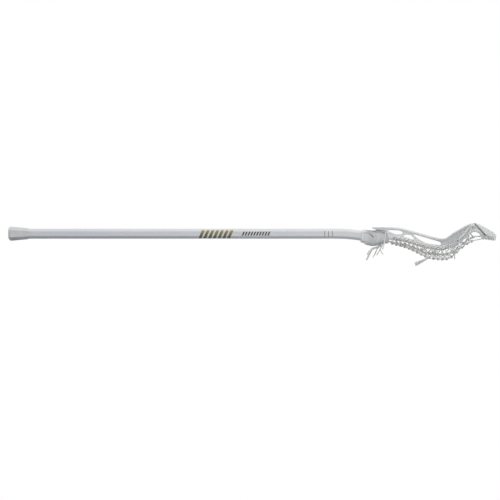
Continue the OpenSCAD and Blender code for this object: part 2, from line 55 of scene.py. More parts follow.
# Measures of the part, in millimetres
HEAD_LENGTH, HEAD_WIDTH = 290.0, 174.0
BEND_ANGLE = math.radians(10.0)
MOUTH = (385.1346, -4.5577)
THROAT_END = 62.0
RIM_DEPTH, FOOT_THICK = 6.5, 6.0
THONG_W, THONG_T, LACE_R, STRING_GAP = 4.6, 2.2, 1.2, 0.5
HOLE_R, HOLE_RISE = 1.8, 4.5
CROSSINGS = 18
SHOOTER_W, SHOOTER_T = 5.5, 2.0
STOP_THICK, STOP_HEIGHT, STOP_WALL = 7.0, 8.0, 2.2
FLOOR_TOP = 14.0
STOP_CENTRE, STOP_ARC_R, STOP_ARC_W, STOP_SWEEP = 62.0, 30.0, 27.0, 60.0
INNER_THROAT, OUTER_THROAT, INNER_SCOOP, OUTER_SCOOP = 7.0, 18.0, 20.7, 62.2
THONG_HOLE_Z, KNOT_AT = -1.0, 53.0
TIE_HOLE = (52.0, 17.0)
SCOOP_HOLES, SCOOP_HOLE_STEP, SCOOP_RISE, THONG_GAP = 14, 10.0, 3.4, 11.4
TUCK, TIE_CLIMB = 0.8, 15.0

# Places along the pocket, in percent of the way from the throat's end to the scoop
THONG_START_AT, TILT_BY, WIDEST, SCOOP_FROM, THONG_END_AT = 2, 8, 84, 88, 95
LACE_SPAN, SHOULDER_SPAN = (4, 80), (56, 64)

# Stations of the rim over the throat: u, half width, top, bottom
LIP_STATIONS = [[23.5, 0, 23, 20.2], [25.5, 12, 23.4, 19.8], [31, 23.5, 24.8, 19], [43, 32, 27.2, 19.5],
                [53, 35.4, 29, 18], [61, 37, 30.4, 3]]
# Stations of the wall: percent of the way to the scoop, percent of the half width, top, bottom
WALL_SHAPE = [[8, 45, 32, 3], [19, 49, 30.5, 2.5], [34, 57.5, 27, -2], [48.5, 68, 24.4, -2.6],
              [55, 73, 28.4, 2], [60.5, 78.5, 41, 8], [66.5, 85, 52.5, 17], [72.5, 91, 64, 35],
              [78, 96, 70.6, 49.5], [83, 99, 71, 52.5], [88.5, 98.5, 67, 48], [93.3, 90, 62.8, 45],
              [97.2, 73, 59.2, 43.6], [99.1, 48, 56.4, 43.4], [99.8, 22, 55.2, 43.4], [100, 0, 55, 43.4]]
# Floor of the pocket along its middle: percent of the way to the scoop, height
FLOOR_SHAPE = [[-6, 3], [3, -4.6], [11, -6.4], [20, -9.4], [27, -13.8], [37, -20.8], [45, -23.2],
               [56, -20.6], [60.5, -17], [64, -10], [67, 0], [70, 9.5], [73.6, 18.5], [78, 27], [84, 34.5],
               [90, 39.5], [95.5, 43], [101, 45]]
# Shooting strings: percent of the way to the scoop at the sidewalls and in the middle
SHOOTER_LOW, SHOOTER_HIGH = (68.0, 65.0), (79.5, 76.0)
# Routes of the loose ends: u, y, z, and those of the pocket from where they leave it
ROUTE_THONG_LEFT = [[47.4, 7, -2], [46, 7.2, -4.5], [45.6, 7.5, -9], [43.4, 8, -15], [38.5, 8, -19.5],
                    [33, 8.2, -22], [29, 8.6, -25.5], [26.4, 9.2, -31], [24, 10.4, -39], [21, 12, -50]]
ROUTE_THONG_RIGHT = [[47.4, -7, -2], [46, -7.2, -4.5], [45.6, -7.5, -9], [43.4, -8.5, -15],
                     [38.5, -10, -19.5], [33, -12, -22], [28, -15, -24.5], [24, -20, -30], [20, -26, -38]]
ROUTE_LACE_LEFT = [[48, 18, -2], [46.5, 18.2, -4.5], [46, 18.5, -9], [44, 19, -15], [41, 20, -20],
                   [39, 22, -25], [38, 24, -31], [36, 26, -37], [34, 27, -42]]
ROUTE_LACE_RIGHT = [[48, -18, -2], [46.7, -18.2, -4.5], [46.5, -18.5, -9], [46, -19, -14], [46, -20, -19],
                    [47, -22, -24], [50, -24, -28], [54, -27, -32]]
RUN_POCKET_LEFT = [[0, 0, 0], [-1.5, 0.2, -0.6], [-4, 1.5, -3.2], [-7.5, 3.5, -6.5], [-12, 6.5, -10.5],
                   [-16.5, 9.5, -14.5], [-22.5, 13.5, -19]]
RUN_POCKET_RIGHT = [[0, 0, 0], [-1.5, -0.2, -0.6], [-4.2, -1.5, -3.2], [-8.5, -3.5, -5.8],
                    [-13.5, -6.5, -8.5], [-18.5, -9.5, -11.5], [-25, -13.5, -15]]
# Ends below the tie holes, with y from the cheek's outside, and the strand round a cheek
TIE_TAIL_LEFT = [[41.7, -3, -36], [44.5, -2.5, -28], [48, -2, -18], [51, -1, -8]]
TIE_TAIL_RIGHT = [[51, -2, -21], [52.2, -1.5, -14], [52.5, -1, -7]]
THROAT_WRAP = [[44.5, 20, -4], [43, 17.5, -11.5], [42.2, 23.5, -7.5], [42, 30.8, 2], [42.2, 27.8, 9.5],
               [42.8, 25.4, 15.5], [45, 26.5, 17.5], [48.5, 30, 17.6], [50.5, 35.5, 17.2]]
TAIL_R, TAIL_W, TAIL_T = 1.9, 4.2, 3.0


# Curves and lookups
def unit(v):
    return v / max(np.linalg.norm(v), 1e-9)


def spline(a, b, c, d, t):
    return 0.5 * (2 * b + (c - a) * t + (2 * a - 5 * b + 4 * c - d) * t * t
                  + (3 * b - a - 3 * c + d) * t * t * t)


def curve(points, steps):
    """Smooth run through the points."""
    p = np.array(points, float)
    n = len(p)
    run = [spline(p[max(i - 1, 0)], p[i], p[i + 1], p[min(i + 2, n - 1)], s / steps)
           for i in range(n - 1) for s in range(steps)]
    return np.array(run + [p[-1]])


def loop_curve(points, steps):
    """Smooth closed run through the points."""
    p = np.array(points, float)
    n = len(p)
    return np.array([spline(p[i - 1], p[i], p[(i + 1) % n], p[(i + 2) % n], s / steps)
                     for i in range(n) for s in range(steps)])


def table(keys, values):
    """Lookup that runs straight between the values at the sorted keys."""
    order = np.argsort(keys, kind="stable")
    k, v = np.asarray(keys)[order], np.asarray(values)[order]
    return lambda x: float(np.interp(x, k, v))


def slope_of(function, at):
    return (function(at + NUDGE) - function(at - NUDGE)) / (2 * NUDGE)


def along(percent):
    return THROAT_END + percent / 100 * (HEAD_LENGTH - THROAT_END)


half_loop = [list(s) for s in LIP_STATIONS] + [
    [along(s[0]), s[1] / 100 * HEAD_WIDTH / 2, s[2], s[3]] for s in WALL_SHAPE]
back_loop = [[s[0], -s[1], s[2], s[3]] for s in half_loop[-2:0:-1]]
wall_loop = loop_curve(half_loop + back_loop, SHAPE_STEPS)
wall_half = wall_loop[wall_loop[:, 1] >= -1e-9]
wall_y = table(wall_half[:, 0], wall_half[:, 1])
wall_top = table(wall_half[:, 0], wall_half[:, 2])
wall_bottom = table(wall_half[:, 0], wall_half[:, 3])
scoop_line = wall_half[wall_half[:, 0] > along(SCOOP_FROM)]
scoop_u_at = table(scoop_line[:, 1], scoop_line[:, 0])
scoop_z_at = table(scoop_line[:, 1], scoop_line[:, 3])
floor_curve = curve(FLOOR_SHAPE, SHAPE_STEPS)
floor_at = table([along(p[0]) for p in floor_curve], floor_curve[:, 1])
tie_climb = table([along(p) for p in SHOULDER_SPAN], [0, TIE_CLIMB])
LACE_START, LACE_END = (along(p) for p in LACE_SPAN)
PITCH = (LACE_END - LACE_START) / CROSSINGS
WIDE_U = along(WIDEST)


def hole_z(u):
    return wall_bottom(u) + HOLE_RISE


def tie_z(u):
    return min(hole_z(u) + tie_climb(u), wall_top(u) - RIM_DEPTH - 2 * HOLE_R)


def scoop_u(y):
    return scoop_u_at(abs(y))


def scoop_z(y):
    return scoop_z_at(abs(y)) + SCOOP_RISE


def scoop_turn(y):
    return math.atan(-slope_of(scoop_u, y))


def net_half(u):
    return wall_y(min(u, WIDE_U))


def net_z(u, y):
    low = floor_at(u)
    return low + (hole_z(u) - low) * (y / net_half(u)) ** 2


def row_y(row, u):
    share = (u - THROAT_END) / (HEAD_LENGTH - THROAT_END)
    near, far = (INNER_THROAT, INNER_SCOOP) if abs(row) == 1 else (OUTER_THROAT, OUTER_SCOOP)
    return math.copysign(near + (far - near) * share, row)


def thong_end(row):
    return scoop_u(row_y(row, along(THONG_END_AT))) - THONG_GAP


def on_thong(row, u):
    y = row_y(row, u)
    return np.array([u, y, net_z(u, y)])


def thong_way(row, u):
    d = slope_of(lambda at: on_thong(row, at), u)
    return unit(np.array([d[0], 0, d[2]]))


def thong_across(row, u):
    """Direction across a thong, which lies on the slope of the net beside it."""
    y, ramp = row_y(row, u), np.interp(u, [THROAT_END, along(TILT_BY)], [0, 1])
    slope = 2 * (hole_z(u) - floor_at(u)) * y / net_half(u) ** 2
    return unit(np.array([0, 1.0, ramp * slope]))


def mesh_z(u, y):
    yi, yo = row_y(1, u), row_y(2, u)
    return float(np.interp(abs(y), [0, yi, yo, net_half(u)],
                           [net_z(u, yi), net_z(u, yi), net_z(u, yo), hole_z(u)]))


def beside_wall(side, u, off):
    """Place across of a point that stands off the sidewall's middle, square to it."""
    return side * (wall_y(u) + off * math.hypot(1, slope_of(wall_y, u)))


def world(points):
    """Head-frame millimetres to the row frame in metres."""
    p = np.atleast_2d(np.asarray(points, float))
    c, s = math.cos(BEND_ANGLE), math.sin(BEND_ANGLE)
    return np.stack([MOUTH[0] + c * p[:, 0] + s * p[:, 2], p[:, 1],
                     MOUTH[1] - s * p[:, 0] + c * p[:, 2]], 1) * MM


def resample(points, step):
    """Evenly spaced points along the polyline."""
    p = np.asarray(points, float)
    keep = np.r_[True, np.linalg.norm(np.diff(p, axis=0), axis=1) > 1e-6]
    p = p[keep]
    s = np.r_[0, np.cumsum(np.linalg.norm(np.diff(p, axis=0), axis=1))]
    at = np.linspace(0, s[-1], max(int(round(s[-1] / step)), 4) + 1)
    return np.stack([np.interp(at, s, p[:, k]) for k in range(3)], 1)


def relax(points, passes):
    """The points with kinks smoothed out and both ends kept."""
    p = np.array(points, float)
    for _ in range(passes):
        p[1:-1] = 0.5 * p[1:-1] + 0.25 * (p[:-2] + p[2:])
    return p


def rounded(points, radius, step, passes=2):
    """The polyline with its corners rounded, as evenly spaced points."""
    p = np.asarray(points, float)
    out = [p[0]]
    for a, b, c in zip(p[:-2], p[1:-1], p[2:]):
        r = min(radius, 0.48 * np.linalg.norm(a - b), 0.48 * np.linalg.norm(c - b))
        start, end = b + unit(a - b) * r, b + unit(c - b) * r
        out += [(1 - t) ** 2 * start + 2 * t * (1 - t) * b + t * t * end for t in np.linspace(0, 1, 6)]
    out.append(p[-1])
    return relax(resample(out, step), passes)


# Meshes
FIRST_ACROSS = (0.31, 0.87, 0.38)
DOME = 0.6
DOME_RINGS = ((0.55, 1.0), (0.87, 0.5))


def section_frames(path, up):
    """Directions along, across and out of a tube's section, carried along the path where up is None."""
    d = np.gradient(path, axis=0)
    d /= np.linalg.norm(d, axis=1)[:, None]
    across = np.zeros_like(path)
    if up is not None:
        ups = np.broadcast_to(np.asarray(up, float), path.shape)
        across = np.cross(ups, d)
        across /= np.linalg.norm(across, axis=1)[:, None]
    else:
        across[0] = unit(np.cross(d[0], FIRST_ACROSS))
        for i in range(1, len(path)):
            across[i] = unit(across[i - 1] - d[i] * np.dot(across[i - 1], d[i]))
    return d, across, np.cross(d, across)


class Builder:
    """Collects tubes into one mesh with a UV map: u runs along a tube in millimetres, v round it."""

    def __init__(self):
        self.verts, self.faces, self.uvs = [], [], []

    def tube(self, path, width, thick=None, up=None, sides=10, square=1.0, twist=0.0):
        path = np.asarray(path, float)
        n = len(path)
        width = np.broadcast_to(np.asarray(width, float), (n,))
        thick = width if thick is None else np.broadcast_to(np.asarray(thick, float), (n,))
        d, across, out = section_frames(path, up)
        length = np.r_[0, np.cumsum(np.linalg.norm(np.diff(path, axis=0), axis=1))]
        angle = 2 * np.pi * (np.arange(sides) + 0.5) / sides
        ca = np.sign(np.cos(angle)) * np.abs(np.cos(angle)) ** square
        sa = np.sign(np.sin(angle)) * np.abs(np.sin(angle)) ** square
        spin = twist * length

        def ring(i, k, shift):
            w, t = width[i] / 2 * k, thick[i] / 2 * k
            cs, sn = math.cos(spin[i]), math.sin(spin[i])
            a = across[i] * cs + out[i] * sn
            o = out[i] * cs - across[i] * sn
            return path[i] + shift * d[i] + np.outer(ca * w, a) + np.outer(sa * t, o)

        tip = DOME * min(width[0], thick[0]) / 2
        end = DOME * min(width[-1], thick[-1]) / 2
        rings = [(ring(0, k, -far * tip), -far * tip) for k, far in DOME_RINGS]
        rings += [(ring(i, 1.0, 0.0), length[i]) for i in range(n)]
        rings += [(ring(n - 1, k, far * end), length[-1] + far * end) for k, far in DOME_RINGS[::-1]]
        base = len(self.verts)
        for r, _ in rings:
            self.verts.extend(world(r))
        for i in range(len(rings) - 1):
            s0, s1 = rings[i][1], rings[i + 1][1]
            for k in range(sides):
                k2 = (k + 1) % sides
                self.faces.append((base + i * sides + k, base + i * sides + k2,
                                   base + (i + 1) * sides + k2, base + (i + 1) * sides + k))
                v0, v1 = k / sides, (k + 1) / sides
                self.uvs += [(s0, v0), (s0, v1), (s1, v1), (s1, v0)]
        for i, flip in ((0, True), (len(rings) - 1, False)):
            centre = len(self.verts)
            self.verts.append(self.ring_middle(base + i * sides, sides))
            for k in range(sides):
                a, b = base + i * sides + k, base + i * sides + (k + 1) % sides
                self.faces.append((b, a, centre) if flip else (a, b, centre))
                self.uvs += [(rings[i][1], k / sides)] * 3

    def ring_middle(self, first, sides):
        return np.mean(self.verts[first:first + sides], axis=0)

    def make(self, name, material, slot, *nodes):
        mesh = bpy.data.meshes.new(name)
        mesh.from_pydata([tuple(v) for v in self.verts], [], self.faces)
        layer = mesh.uv_layers.new(name="UVMap")
        layer.data.foreach_set("uv", np.array(self.uvs, "f").ravel())
        mesh.polygons.foreach_set("use_smooth", [True] * len(mesh.polygons))
        mesh.materials.append(material)
        mesh.validate()
        piece = bpy.data.objects.new(name, mesh)
        bpy.context.scene.collection.objects.link(piece)
        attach(piece, BODY)
        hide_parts(*nodes)
        return piece


# Materials
class Nodes:
    """A material's node tree with short calls."""

    def __init__(self, name):
        self.material = bpy.data.materials.new(name)
        self.material.use_nodes = True
        self.tree = self.material.node_tree
        self.shader = self.tree.nodes["Principled BSDF"]

    def add(self, kind, inputs=None, **settings):
        node = self.tree.nodes.new("ShaderNode" + kind)
        for key, value in settings.items():
            setattr(node, key, value)
        for key, value in (inputs or {}).items():
            self.put(node, key, value)
        return node

    def put(self, node, key, value):
        socket = node.inputs[key]
        if isinstance(value, bpy.types.NodeSocket):
            self.tree.links.new(value, socket)
        else:
            socket.default_value = value

    def set(self, **values):
        for key, value in values.items():
            self.put(self.shader, key.replace("_", " ").title(), value)

    def math(self, operation, a, b=0.0):
        return self.add("Math", {0: a, 1: b}, operation=operation).outputs[0]

    def product(self, first, *others):
        for other in others:
            first = self.math("MULTIPLY", first, other)
        return first

    def coords(self, kind="Object"):
        return self.add("TexCoord").outputs[kind]

    def noise(self, vector, scale, detail):
        return self.add("TexNoise", {"Vector": vector, "Scale": scale, "Detail": detail,
                                     "Roughness": 0.55}).outputs["Fac"]

    def spread(self, value, low, high, start=0.3, end=0.7):
        return self.add("MapRange", {"Value": value, "From Min": start, "From Max": end,
                                     "To Min": low, "To Max": high}).outputs["Result"]

    def band(self, value, rise, fall):
        """Mask that rises over one span of a value and falls over a later one."""
        return self.product(self.spread(value, 0.0, 1.0, *rise), self.spread(value, 1.0, 0.0, *fall))

    def mix(self, factor, a, b):
        node = self.tree.nodes.new("ShaderNodeMix")
        node.data_type = "RGBA"
        for socket, value in zip((node.inputs[0], node.inputs[6], node.inputs[7]), (factor, a, b)):
            if isinstance(value, bpy.types.NodeSocket):
                self.tree.links.new(value, socket)
            else:
                socket.default_value = value
        return node.outputs[2]

    def ramp(self, value, stops):
        """Colour that drifts through stops, each a place from 0 to 1 and a colour."""
        node = self.add("ValToRGB", {"Fac": value})
        made = node.color_ramp.elements
        made[0].position, made[1].position = stops[0][0], stops[-1][0]
        for place, _ in stops[1:-1]:
            made.new(place)
        for element, (_, colour) in zip(made, stops):
            element.color = colour
        return node.outputs["Color"]

    def hollow_shade(self, reach, most, start, end):
        """Mask of hollows of a piece's own shape, used to paint shade into them."""
        shade = self.add("AmbientOcclusion", {"Distance": reach}, samples=8, only_local=True)
        return self.spread(shade.outputs["AO"], most, 0.0, start, end)

    def translucent(self, weight, reach):
        """Light that enters fibres and leaves them elsewhere."""
        self.put(self.shader, "Subsurface Weight", weight)
        self.put(self.shader, "Subsurface Radius", (1.0, 1.0, 0.95))
        self.put(self.shader, "Subsurface Scale", reach)

    def bump(self, height, strength, distance):
        return self.add("Bump", {"Height": height, "Strength": strength,
                                 "Distance": distance}).outputs["Normal"]


def rgb(r, g, b):
    return (r, g, b, 1.0)


# Painted light and shade on the head: spans in metres along the stick (x) and up (z), and reaches of its
# hollows
COLLAR_PAINTED_LIGHT = (0.388, 0.403)
WEB_SHADE_RISE, WEB_SHADE_FALL = (0.54, 0.565), (0.605, 0.64)
RIM_SHADOW_RISE, RIM_SHADOW_FALL = (0.391, 0.403), (0.413, 0.424)
RIM_SHADOW_DEEPENS, RIM_SHADOW_STOPS = (-0.001, 0.0045), (0.0084, 0.0092)
GROOVE_SHADE_FADE = (0.011, 0.019)
WIDE_HOLLOW, NARROW_HOLLOW = 0.03, 0.0025


def moulded_nylon():
    """Nylon with painted light at the collar, and painted shade in hollows, under the rim and along the
    sidewalls before the scoop.
    """
    m = Nodes("moulded_nylon")
    at = m.coords()
    xyz = m.add("SeparateXYZ", {0: at})
    x, z = xyz.outputs["X"], xyz.outputs["Z"]
    cloud, grain = m.noise(at, 38.0, 4.0), m.noise(at, 1500.0, 2.0)
    tint = m.mix(m.spread(cloud, 0.0, 1.0), rgb(0.8, 0.81, 0.81), rgb(0.845, 0.852, 0.855))
    # painted light: the collar is lightened towards white, where light from above falls on it
    tint = m.mix(m.spread(x, 0.7, 0.0, *COLLAR_PAINTED_LIGHT), tint, rgb(0.93, 0.935, 0.935))
    # painted shade: the colour darkens in wide hollows, where shade falls under the rim and round the
    # throat
    tint = m.mix(m.hollow_shade(WIDE_HOLLOW, 0.85, 0.25, 0.95), tint, rgb(0.42, 0.425, 0.43))
    # painted shadow: the cheek under the rim bar is darkened as if the rim shaded it
    rim_shadow = m.product(m.band(x, RIM_SHADOW_RISE, RIM_SHADOW_FALL), m.spread(z, 0.17, 0.6, *RIM_SHADOW_DEEPENS),
                          m.spread(z, 1.0, 0.0, *RIM_SHADOW_STOPS))
    tint = m.mix(rim_shadow, tint, rgb(0.3, 0.305, 0.31))
    # painted shade: dark lines in narrow creases and grooves, weaker higher up
    groove_shade = m.product(m.hollow_shade(NARROW_HOLLOW, 1.0, 0.4, 0.92), m.spread(z, 1.0, 0.3, *GROOVE_SHADE_FADE))
    tint = m.mix(groove_shade, tint, rgb(0.15, 0.15, 0.155))
    # painted shade: the stretch of the sidewalls before the scoop is greyed
    web_shade = m.product(m.band(x, WEB_SHADE_RISE, WEB_SHADE_FALL), 0.5)
    tint = m.mix(web_shade, tint, rgb(0.47, 0.475, 0.485))
    m.set(base_color=tint, roughness=m.spread(grain, 0.36, 0.5), normal=m.bump(grain, 0.04, 0.0001))
    m.translucent(0.3, 0.004)
    return m.material


def cap_rubber():
    m = Nodes("cap_rubber")
    at = m.coords()
    cloud, grain = m.noise(at, 60.0, 4.0), m.noise(at, 2200.0, 3.0)
    tint = m.mix(m.spread(cloud, 0.0, 1.0), rgb(0.73, 0.745, 0.75), rgb(0.79, 0.8, 0.805))
    m.set(base_color=tint, roughness=m.spread(grain, 0.55, 0.75), normal=m.bump(grain, 0.25, 0.0003))
    return m.material


# The handle's white from end to end, and its bars: start, end, lower and upper edge in metres, slant,
# step in metres and the share of a step that is inked
HANDLE_SPAN = (-0.4, 0.4)
PAINT_DRIFT = [(0.0, rgb(0.785, 0.805, 0.825)), (0.19, rgb(0.785, 0.8, 0.87)),
               (0.42, rgb(0.825, 0.842, 0.872)), (0.76, rgb(0.83, 0.85, 0.868)),
               (1.0, rgb(0.855, 0.866, 0.885))]
WIDE_BARS = (0.0275, 0.1015, -0.0098, 0.0078, 0.45, 0.0106, 0.62)
THIN_BARS = (0.121, 0.184, -0.0042, 0.0046, 0.45, 0.0063, 0.52)
TICKS = (0.303, 0.3285, -0.0066, 0.0062, 0.0, 0.0085, 0.14)
GOLD_FADE = (-0.006, 0.011)


def handle_paint():
    """Glossy white paint with a slanted-bar pattern on the side that faces the viewer."""
    m = Nodes("handle_paint")
    at = m.coords()
    cloud, peel, fine = m.noise(at, 22.0, 4.0), m.noise(at, 420.0, 2.0), m.noise(at, 3000.0, 2.0)
    xyz = m.add("SeparateXYZ", {0: at})
    x, z = xyz.outputs["X"], xyz.outputs["Z"]
    drift = m.ramp(m.spread(x, 0.0, 1.0, *HANDLE_SPAN), PAINT_DRIFT)
    white = m.mix(m.spread(cloud, 0.1, 0.0), drift, rgb(0.6, 0.61, 0.64))
    facing = m.add("SeparateXYZ", {0: m.add("NewGeometry").outputs["Normal"]}).outputs["Y"]
    side = m.math("LESS_THAN", facing, -0.3)

    def bars(x0, x1, low, high, slant, step, share):
        """Mask of slanted bars between x0 and x1 and between two heights."""
        run = m.math("ADD", x, m.product(z, -slant))
        place = m.math("FRACT", m.math("DIVIDE", m.math("SUBTRACT", run, x0), step))
        return m.product(side, m.math("GREATER_THAN", run, x0), m.math("LESS_THAN", run, x1),
                         m.math("GREATER_THAN", z, low), m.math("LESS_THAN", z, high),
                         m.math("LESS_THAN", place, share))

    fade = m.spread(m.math("ADD", z, m.product(cloud, 0.006)), 0.0, 1.0, *GOLD_FADE)
    gold = m.mix(fade, rgb(0.03, 0.028, 0.02), rgb(0.42, 0.33, 0.11))
    ink = m.mix(m.spread(peel, 0.0, 1.0), rgb(0.018, 0.018, 0.02), rgb(0.05, 0.048, 0.045))
    tint = m.mix(bars(*WIDE_BARS), white, gold)
    tint = m.mix(bars(*THIN_BARS), tint, ink)
    tint = m.mix(bars(*TICKS), tint, rgb(0.16, 0.14, 0.09))
    m.set(base_color=tint, roughness=m.spread(peel, 0.3, 0.4), normal=m.bump(fine, 0.05, 0.0001))
    m.put(m.shader, "Coat Weight", 0.2)
    m.put(m.shader, "Coat Roughness", 0.15)
    return m.material


def brushed_steel():
    m = Nodes("brushed_steel")
    at = m.coords()
    grain = m.noise(at, 900.0, 4.0)
    m.set(base_color=m.mix(m.spread(grain, 0.0, 1.0), rgb(0.5, 0.5, 0.5), rgb(0.66, 0.66, 0.65)),
          roughness=m.spread(grain, 0.28, 0.45), normal=m.bump(grain, 0.1, 0.0002))
    m.put(m.shader, "Metallic", 1.0)
    return m.material


def closed_foam():
    m = Nodes("closed_foam")
    at = m.coords()
    cells = m.add("TexVoronoi", {"Vector": at, "Scale": 900.0}).outputs["Distance"]
    cloud = m.noise(at, 120.0, 3.0)
    m.set(base_color=m.mix(m.spread(cloud, 0.0, 1.0), rgb(0.69, 0.7, 0.7), rgb(0.79, 0.8, 0.8)),
          roughness=m.spread(cells, 0.8, 0.95, 0.0, 0.6), normal=m.bump(cells, 0.5, 0.0004))
    return m.material


def braided(name, dark, light, strand, round_count):
    """Braided cord: two crossing sets of strands along the tube's own UVs."""
    m = Nodes(name)
    at = m.coords()
    uv = m.add("SeparateXYZ", {0: m.coords("UV")})
    run = m.product(uv.outputs["X"], 2 * math.pi / strand)
    turn = m.product(uv.outputs["Y"], 2 * math.pi * round_count)
    one = m.math("SINE", m.math("ADD", run, turn))
    two = m.math("SINE", m.math("SUBTRACT", run, turn))
    weave = m.math("MAXIMUM", one, two)
    cloud, fuzz = m.noise(at, 180.0, 3.0), m.noise(at, 4000.0, 2.0)
    tint = m.mix(m.spread(cloud, 0.0, 1.0), dark, light)
    # painted shade: the colour darkens in the grooves between the strands
    tint = m.mix(m.spread(weave, 0.15, 0.0, -0.6, 0.4), tint, rgb(0.66, 0.66, 0.63))
    m.set(base_color=tint, roughness=m.spread(fuzz, 0.6, 0.8), normal=m.bump(weave, 0.5, 0.0002))
    m.put(m.shader, "Sheen Weight", 0.5)
    m.put(m.shader, "Sheen Roughness", 0.6)
    m.translucent(1.0, 0.003)
    return m.material


def thong_leather():
    m = Nodes("thong_leather")
    at = m.coords()
    cells = m.add("TexVoronoi", {"Vector": at, "Scale": 1400.0}, feature="DISTANCE_TO_EDGE")
    grain = cells.outputs["Distance"]
    stain, crease = m.noise(at, 90.0, 4.0), m.noise(at, 700.0, 3.0)
    tint = m.mix(m.spread(stain, 0.0, 1.0), rgb(0.91, 0.9, 0.84), rgb(0.96, 0.952, 0.9))
    tint = m.mix(m.spread(grain, 0.2, 0.0, 0.0, 0.08), tint, rgb(0.66, 0.65, 0.6))
    height = m.math("ADD", m.spread(grain, 0.0, 0.6, 0.0, 0.15), m.product(crease, 0.8))
    m.set(base_color=tint, roughness=m.spread(crease, 0.55, 0.75), normal=m.bump(height, 0.45, 0.0004))
    m.translucent(0.6, 0.003)
    return m.material


NYLON, RUBBER, PAINT = moulded_nylon(), cap_rubber(), handle_paint()
STEEL, FOAM, LEATHER = brushed_steel(), closed_foam(), thong_leather()
LACE = braided("lace_cord", rgb(0.92, 0.92, 0.85), rgb(0.965, 0.965, 0.905), 1.6, 4)
SHOOTER = braided("shooter_lace", rgb(0.92, 0.922, 0.87), rgb(0.965, 0.966, 0.92), 2.2, 6)


# Camera
PHOTO_MM_PER_PIXEL = 2.2224
PHOTO_PIXELS = 500
VIEW_CENTRE = (0.1376, -0.0362)
LENS, SENSOR = 1000.0, 36.0
camera_data = bpy.data.cameras.new("camera")
camera_data.lens, camera_data.sensor_width = LENS, SENSOR
camera_data.clip_start, camera_data.clip_end = 0.1, 200.0
camera = bpy.data.objects.new("camera", camera_data)
bpy.context.scene.collection.objects.link(camera)
distance = PHOTO_MM_PER_PIXEL * MM * PHOTO_PIXELS * LENS / SENSOR
camera.location = (VIEW_CENTRE[0], -distance, VIEW_CENTRE[1])
camera.rotation_euler = (math.pi / 2, 0, 0)
bpy.context.scene.camera = camera


# Free ends
POCKET_TAIL_AT = 8.5


def free_end(name, route, width, thick, material, slot, twist):
    """A loose end along its route."""
    path = rounded(curve(route, CURVE_STEPS), radius=2.0, step=1.5, passes=3)
    path[0] = route[0]
    b = Builder()
    b.tube(path, width, thick, sides=12, square=0.8, twist=twist)
    piece = b.make(name + "_loose", material, slot, name)


def pocket_route(row, run):
    """Route of a loose end that leaves the underside of an inner thong."""
    drop = THONG_T / 2 + TAIL_R + 0.2 * STRING_GAP
    root = on_thong(row, LACE_START + POCKET_TAIL_AT * PITCH) - np.array([0, 0, drop])
    return [root + np.array(p, float) for p in run]


free_end("thong_tail_left", ROUTE_THONG_LEFT, TAIL_W, TAIL_T, LEATHER, "thong_leather", 0.01)
free_end("thong_tail_right", ROUTE_THONG_RIGHT, TAIL_W, TAIL_T, LEATHER, "thong_leather", -0.012)
free_end("lace_tail_left", ROUTE_LACE_LEFT, 2 * LACE_R, 2 * LACE_R, LACE, "lace_cord", 0.0)
free_end("lace_tail_right", ROUTE_LACE_RIGHT, 2 * LACE_R, 2 * LACE_R, LACE, "lace_cord", 0.0)
free_end("pocket_tail_left", pocket_route(1, RUN_POCKET_LEFT), TAIL_W, TAIL_T, LEATHER,
         "thong_leather", 0.015)
free_end("pocket_tail_right", pocket_route(-1, RUN_POCKET_RIGHT), TAIL_W, TAIL_T, LEATHER,
         "thong_leather", -0.015)


# Thongs, and the places, half sizes, turns and strips of what is tied on them
LUMP_AT, LUMP_HALF, LUMP_TURNS, LUMP_STRIP = (144.0, -52.0, -9.0), (4.0, 3.4, 4.4), 2.6, (3.8, 3.2)
LUMP_DRIFT, LUMP_MIDDLE = 0.12, 8.0
KEEPER_AT, KEEPER_HALF, KEEPER_STRIP = (163.5, -52.0, -5.5), (8.5, 4.2), (10.5, 1.6)
KEEPER_LAP, KEEPER_DRIFT, KEEPER_OPENS = 0.3, 0.2, (0.02, 0.04)
PLATE_KNOT_TURNS, PLATE_KNOT_LONG, PLATE_KNOT_HALF, PLATE_KNOT_CORD = 2.3, 5.2, (2.3, 2.0), 2.6


def leather_knot(b):
    """Fat turns of a strip in front of the near outer thong, with a leg to the thong behind them."""
    u, y, z = LUMP_AT
    wide, deep, high = LUMP_HALF
    turns = np.linspace(0, LUMP_TURNS * 2 * np.pi, 80)
    coil = [[u + wide * math.cos(a) - LUMP_DRIFT * (a - LUMP_MIDDLE), y + deep * math.sin(a),
             z - high + 2 * high * a / turns[-1]] for a in turns]
    anchor = on_thong(-2, u - 5)
    leg = [anchor, anchor + [1.5, -3.5, -1.5], anchor + [3.5, -11, 0.5]]
    b.tube(rounded(leg + coil, radius=1.5, step=0.8), *LUMP_STRIP, sides=10)


def leather_keeper(b):
    """Wide strip wrapped once round the near outer thong and the lacing beside it."""
    u, y, z = KEEPER_AT
    wide, high = KEEPER_HALF
    opens, lifts = KEEPER_OPENS
    turn = np.linspace(-KEEPER_LAP, 2 * np.pi + KEEPER_LAP, 60)
    ring = [[u + KEEPER_DRIFT * a, y - wide * math.cos(a) * (1 + opens * a),
             z + high * math.sin(a) * (1 + lifts * a)] for a in turn]
    away = [[0, -math.cos(a) / wide, math.sin(a) / high] for a in turn]
    b.tube(ring, *KEEPER_STRIP, up=away, sides=12, square=0.6)


def plate_knot(b, y):
    """Overhand knot behind the end plate: tight turns over the thong."""
    wide, high = PLATE_KNOT_HALF
    turns = np.linspace(0, PLATE_KNOT_TURNS * 2 * np.pi, 60)
    start = KNOT_AT - PLATE_KNOT_LONG / 2
    knot = [[start + PLATE_KNOT_LONG * a / turns[-1], y + wide * math.cos(a),
             THONG_HOLE_Z - 0.5 + high * math.sin(a)] for a in turns]
    b.tube(knot, PLATE_KNOT_CORD, sides=8)


